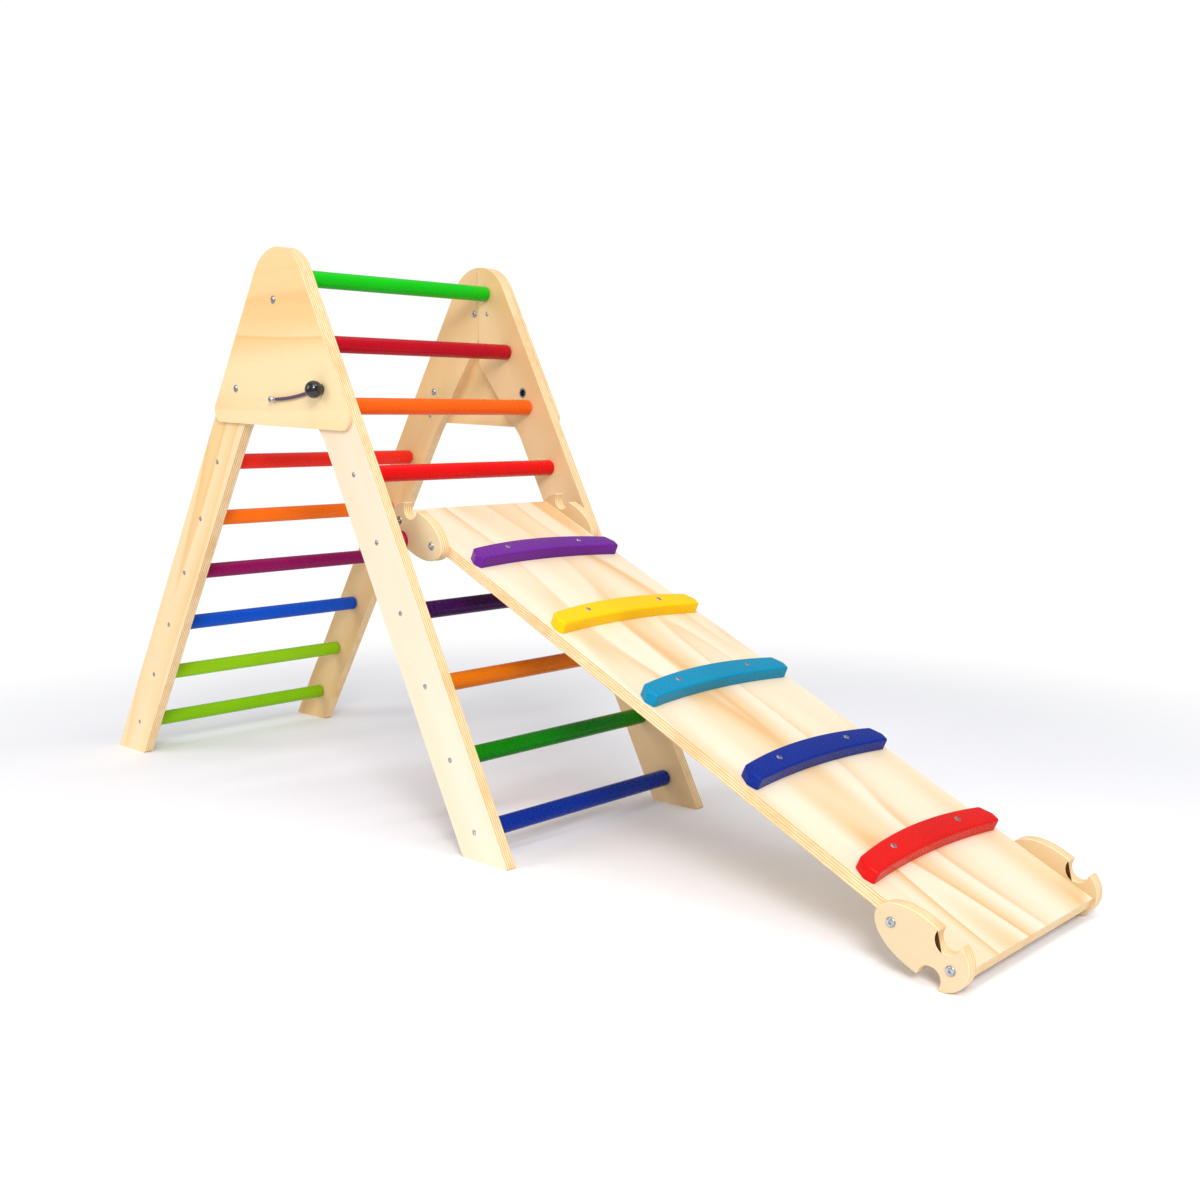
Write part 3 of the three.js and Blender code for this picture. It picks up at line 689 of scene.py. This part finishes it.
def bracket_outline():
    """A long half-ellipse, a round tail towards +X, and a half-round notch above and below."""
    body_lip = math.sqrt(NOTCH_RADIUS ** 2 - (BODY_HALF_HEIGHT - NOTCH_OFFSET) ** 2)
    tail_from_notch = math.hypot(TAIL_CENTRE, NOTCH_OFFSET)
    reach = (TAIL_RADIUS ** 2 + tail_from_notch ** 2 - NOTCH_RADIUS ** 2) / (2 * tail_from_notch)
    lip = math.atan2(NOTCH_OFFSET, -TAIL_CENTRE) - math.acos(reach / TAIL_RADIUS)
    tail_lip = (TAIL_CENTRE + TAIL_RADIUS * math.cos(lip), TAIL_RADIUS * math.sin(lip))
    body_angle = math.atan2(BODY_HALF_HEIGHT - NOTCH_OFFSET, -body_lip)
    tail_angle = math.atan2(tail_lip[1] - NOTCH_OFFSET, tail_lip[0])
    points = arc(-BODY_CENTRE, 0, BODY_LENGTH, BODY_HALF_HEIGHT, math.pi / 2, 1.5 * math.pi)
    points += arc(0, -NOTCH_OFFSET, NOTCH_RADIUS, NOTCH_RADIUS, -body_angle, -tail_angle - 2 * math.pi, 24)
    points += arc(TAIL_CENTRE, 0, TAIL_RADIUS, TAIL_RADIUS, -lip, lip)
    points += arc(0, NOTCH_OFFSET, NOTCH_RADIUS, NOTCH_RADIUS, tail_angle + 2 * math.pi, body_angle, 24)
    return points


def make_brackets():
    outline = softened(bracket_outline(), 0.0012, 9)
    wood = {
        side_name: plywood(f"bracket_wood_{side_name}", X, Z, 60.0 + 9 * i, *BRACKET_TONES, contrast=0.5)
        for i, side_name in enumerate(SIDES)
    }
    hook = centre("front_rung_5")
    for end, along, facing_sign in (("upper", 0, -1), ("lower", NOTCH_SPACING, 1)):
        for side_name, side in SIDES.items():
            node = f"bracket_{end}_{side_name}"
            low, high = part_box(node)
            thickness = high.y - low.y
            reach = (-thickness / 2, thickness / 2)
            mesh = slab(f"{node}_rounded", outline, *reach, BRACKET_EASE, BRACKET_EASE)
            origin = hook + slope * along + off_board * NOTCH_OFFSET
            origin.y = (low.y + high.y) / 2
            matrix = matrix_at(origin, slope * facing_sign, Y * -facing_sign)
            piece(f"{node}_rounded", mesh, matrix, "ramp", wood[side_name], [node])


make_brackets()

# ---------------------------------------------------------------- pull pins and their cords

# The cord between a pin's neck and its anchor screw: the share of the way, and the sag in metres.
LANYARD_ROUTE = [
    (0, 0), (0.08, 0.0011), (0.16, 0.0020), (0.24, 0.0028), (0.32, 0.0033), (0.41, 0.0037), (0.5, 0.0038),
    (0.59, 0.0037), (0.68, 0.0033), (0.76, 0.0028), (0.84, 0.0020), (0.92, 0.0011), (1, 0),
]
LANYARD_RADIUS = 0.0028
LANYARD_START = 0.0135      # from the pin's axis
LANYARD_CLEARANCE = 0.0006
LANYARD_END_GAP = 0.001
ANCHOR_RADIUS = 0.003
ANCHOR_SHANK = 0.0027
ANCHOR_DEPTH = 0.0048       # of the anchor screw's shank in the gusset
SLEEVE_RADIUS = 0.0034
SLEEVE_LENGTH = 0.008
PIN_RADIUS = 0.006
COLLAR_RADIUS = 0.009
COLLAR_HEIGHT = 0.0015
NECK_RADIUS = 0.0050
GAP = 0.0003                # between the gusset and the pin's collar
KNOB_FLAT = 0.0088          # radius of the knob's flat underside


def braided_tube(name, path, radius, sides=24, strands=6, turns_per_metre=170, relief=0.07):
    """A tube along the path, whose radius swells where the strands of a braid cross over."""
    samples = []
    for a, b in zip(path, path[1:]):
        samples += [a.lerp(b, i / 12) for i in range(12)]
    samples.append(path[-1])
    mesh = bmesh.new()
    rings, travelled = [], 0.0
    for i, at in enumerate(samples):
        before, after = samples[max(i - 1, 0)], samples[min(i + 1, len(samples) - 1)]
        tangent = (after - before).normalized()
        up = Z - tangent * tangent.dot(Z)
        up.normalize()
        out = tangent.cross(up)
        travelled += (at - before).length
        wind = 2 * math.pi * turns_per_metre * travelled
        ring = []
        for k in range(sides):
            a = 2 * math.pi * k / sides
            lobe = strands / 2 * a
            swell = 1 + relief * (abs(math.sin(lobe + wind)) * abs(math.sin(lobe - wind)) - 0.5)
            ring.append(mesh.verts.new(at + (up * math.cos(a) + out * math.sin(a)) * radius * swell))
        rings.append(ring)
    for lower, upper in zip(rings, rings[1:]):
        for i in range(sides):
            j = (i + 1) % sides
            mesh.faces.new((lower[i], lower[j], upper[j], upper[i]))
    mesh.faces.new(rings[0][::-1])
    mesh.faces.new(rings[-1])
    bmesh.ops.recalc_face_normals(mesh, faces=mesh.faces)
    data = bpy.data.meshes.new(name)
    mesh.to_mesh(data)
    mesh.free()
    return smoothed(data, 60)


def make_pull_pin(side_name, side):
    pin_node, knob_node = f"lock_pin_{side_name}", f"lock_knob_{side_name}"
    at = centre(pin_node)
    body = body_of_node[pin_node]
    pin_low, pin_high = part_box(pin_node)
    shank_start, neck_end = (pin_low.y, pin_high.y) if side > 0 else (-pin_high.y, -pin_low.y)
    low, high = GUSSET_OUTER + GAP, GUSSET_OUTER + GAP + COLLAR_HEIGHT
    ease = 0.0004
    profile = [(0, shank_start), (PIN_RADIUS - 0.0005, shank_start), (PIN_RADIUS, shank_start + 0.0005)]
    profile += [(PIN_RADIUS, low), (COLLAR_RADIUS - ease, low), (COLLAR_RADIUS, low + ease)]
    profile += [(COLLAR_RADIUS, high - ease), (COLLAR_RADIUS - ease, high), (NECK_RADIUS + ease, high)]
    profile += [(NECK_RADIUS, high + ease), (NECK_RADIUS, neck_end), (0, neck_end)]
    mesh = turned(f"{pin_node}_shank", profile, 48)
    piece(f"{pin_node}_shank", mesh, facing((at.x, 0, at.z), side), body, DARK_STEEL, [pin_node])

    knob_low, knob_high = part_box(knob_node)
    start, end = (knob_low.y, knob_high.y) if side > 0 else (-knob_high.y, -knob_low.y)
    radius = (knob_high.z - knob_low.z) / 2
    middle = end - radius
    first = math.asin(KNOB_FLAT / radius)
    steps = 22
    ball = [(0, start), (KNOB_FLAT - 0.0012, start), (KNOB_FLAT, start + 0.0006)]
    for i in range(1, steps):
        a = first + (math.pi - first) * i / steps
        ball.append((radius * math.sin(a), middle - radius * math.cos(a)))
    mesh = turned(f"{knob_node}_ball", ball + [(0, end)], 48)
    piece(f"{knob_node}_ball", mesh, facing((at.x, 0, at.z), side), body, KNOB, [knob_node])


def make_lanyard(side_name, side):
    pin, anchor = centre(f"lock_pin_{side_name}"), centre(f"lanyard_screw_{side_name}")
    cord_y = side * (GUSSET_OUTER + LANYARD_RADIUS + LANYARD_CLEARANCE)
    start = Vector((pin.x - LANYARD_START, cord_y, pin.z))
    end = Vector((anchor.x + ANCHOR_RADIUS + LANYARD_END_GAP, cord_y, anchor.z))
    path = [start.lerp(end, share) - Z * sag for share, sag in LANYARD_ROUTE]

    node = f"lanyard_{side_name}"
    cord = bpy.data.objects.new(f"{node}_cord", braided_tube(f"{node}_cord", path, LANYARD_RADIUS))
    bpy.context.scene.collection.objects.link(cord)
    cord.data.materials.append(CORD)
    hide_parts(node)
    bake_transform(cord)

    # A crimped sleeve ends the cord beside its anchor screw.
    sleeve = turned(f"{node}_sleeve", rounded_profile(SLEEVE_RADIUS, 0, SLEEVE_LENGTH, 0.0006), 32)
    matrix = matrix_at(path[-1], Y, path[-2] - path[-1])
    piece(f"{node}_sleeve", sleeve, matrix, "rear_ladder", STEEL)
    screw = f"lanyard_screw_{side_name}"
    low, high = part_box(screw)
    stand = max(abs(low.y), abs(high.y)) - GUSSET_OUTER
    profile = [(0, -ANCHOR_DEPTH), (ANCHOR_SHANK, -ANCHOR_DEPTH), (ANCHOR_SHANK, stand - 0.0026)]
    profile += [(0.0052, stand - 0.0025), (0.0055, stand - 0.0020), (0.0050, stand - 0.0010)]
    profile += [(0.0034, stand - 0.0002), (0.0027, stand), (0.0024, stand, cross_shape)]
    profile += [(0.0022, stand - 0.0012, cross_shape), (0, stand - 0.0013)]
    head = turned(f"{screw}_head", profile, 64)
    matrix = facing((anchor.x, side * GUSSET_OUTER, anchor.z), side)
    piece(f"{screw}_head", head, matrix, "rear_ladder", STEEL, [screw])


for side_name, side in SIDES.items():
    make_pull_pin(side_name, side)
    make_lanyard(side_name, side)

# ---------------------------------------------------------------- floor, light and world

FLOOR_RADIUS = 5.0
FLOOR_FADE = (1.0, 2.1)     # the floor thins out between these distances from the middle
BACKDROP = 1.02             # brightness behind the floor's edge
AMBIENT = 0.45


def make_floor():
    mesh = bmesh.new()
    bmesh.ops.create_circle(mesh, cap_ends=True, radius=FLOOR_RADIUS, segments=96)
    data = bpy.data.meshes.new("floor")
    mesh.to_mesh(data)
    mesh.free()
    floor = bpy.data.objects.new("floor", data)
    bpy.context.scene.collection.objects.link(floor)
    s = Shader("floor")
    cloud = s.noise(s.place, 1.5, 2.0)
    s.set(base_color=s.mix(s.fit(cloud, 0.3, 0.7), rgb("f5f6fb"), rgb("f8f9fe")), roughness=0.85)
    s.set(specular_ior_level=0.1)
    distance = s.add("ShaderNodeVectorMath", {0: s.place}, "Value", operation="LENGTH")
    clear = s.add("ShaderNodeBsdfTransparent", {})
    fade = s.add("ShaderNodeMixShader", {0: s.fit(distance, *FLOOR_FADE), 1: s.surface.outputs[0], 2: clear})
    s.put(s.tree.nodes["Material Output"].inputs["Surface"], fade)
    data.materials.append(s.material)


def area_light(name, place, aim, width, height, watts, colour=(1, 1, 1)):
    data = bpy.data.lights.new(name, "AREA")
    data.shape = "RECTANGLE"
    data.size = width
    data.size_y = height
    data.energy = watts
    data.color = colour
    light = bpy.data.objects.new(name, data)
    light.location = place
    light.rotation_mode = "QUATERNION"
    light.rotation_quaternion = (Vector(aim) - Vector(place)).to_track_quat("-Z", "Y")
    bpy.context.scene.collection.objects.link(light)


def make_light():
    area_light("overhead", (0.2, 0.3, 4.2), (0.1, 0, 0), 4.0, 4.0, 30)
    area_light("key", (3.0, -2.4, 2.5), (0, 0, 0.4), 1.3, 1.3, 108, (1.0, 0.99, 0.98))
    area_light("fill", (-1.8, -3.8, 2.2), (-0.2, 0, 0.4), 2.4, 2.4, 55)
    area_light("strip", (1.5, -0.5, 3.0), (-0.2, 0, 0.4), 2.6, 0.16, 26)
    world = bpy.data.worlds.new("studio")
    world.use_nodes = True
    tree = world.node_tree
    background = tree.nodes["Background"]
    background.inputs["Color"].default_value = (1, 1, 1, 1)
    path = tree.nodes.new("ShaderNodeLightPath")
    choose = tree.nodes.new("ShaderNodeMapRange")
    tree.links.new(path.outputs["Is Camera Ray"], choose.inputs["Value"])
    choose.inputs["To Min"].default_value = AMBIENT
    choose.inputs["To Max"].default_value = BACKDROP
    tree.links.new(choose.outputs[0], background.inputs["Strength"])
    bpy.context.scene.world = world
    bpy.context.scene.view_settings.view_transform = "Standard"


make_floor()
make_light()
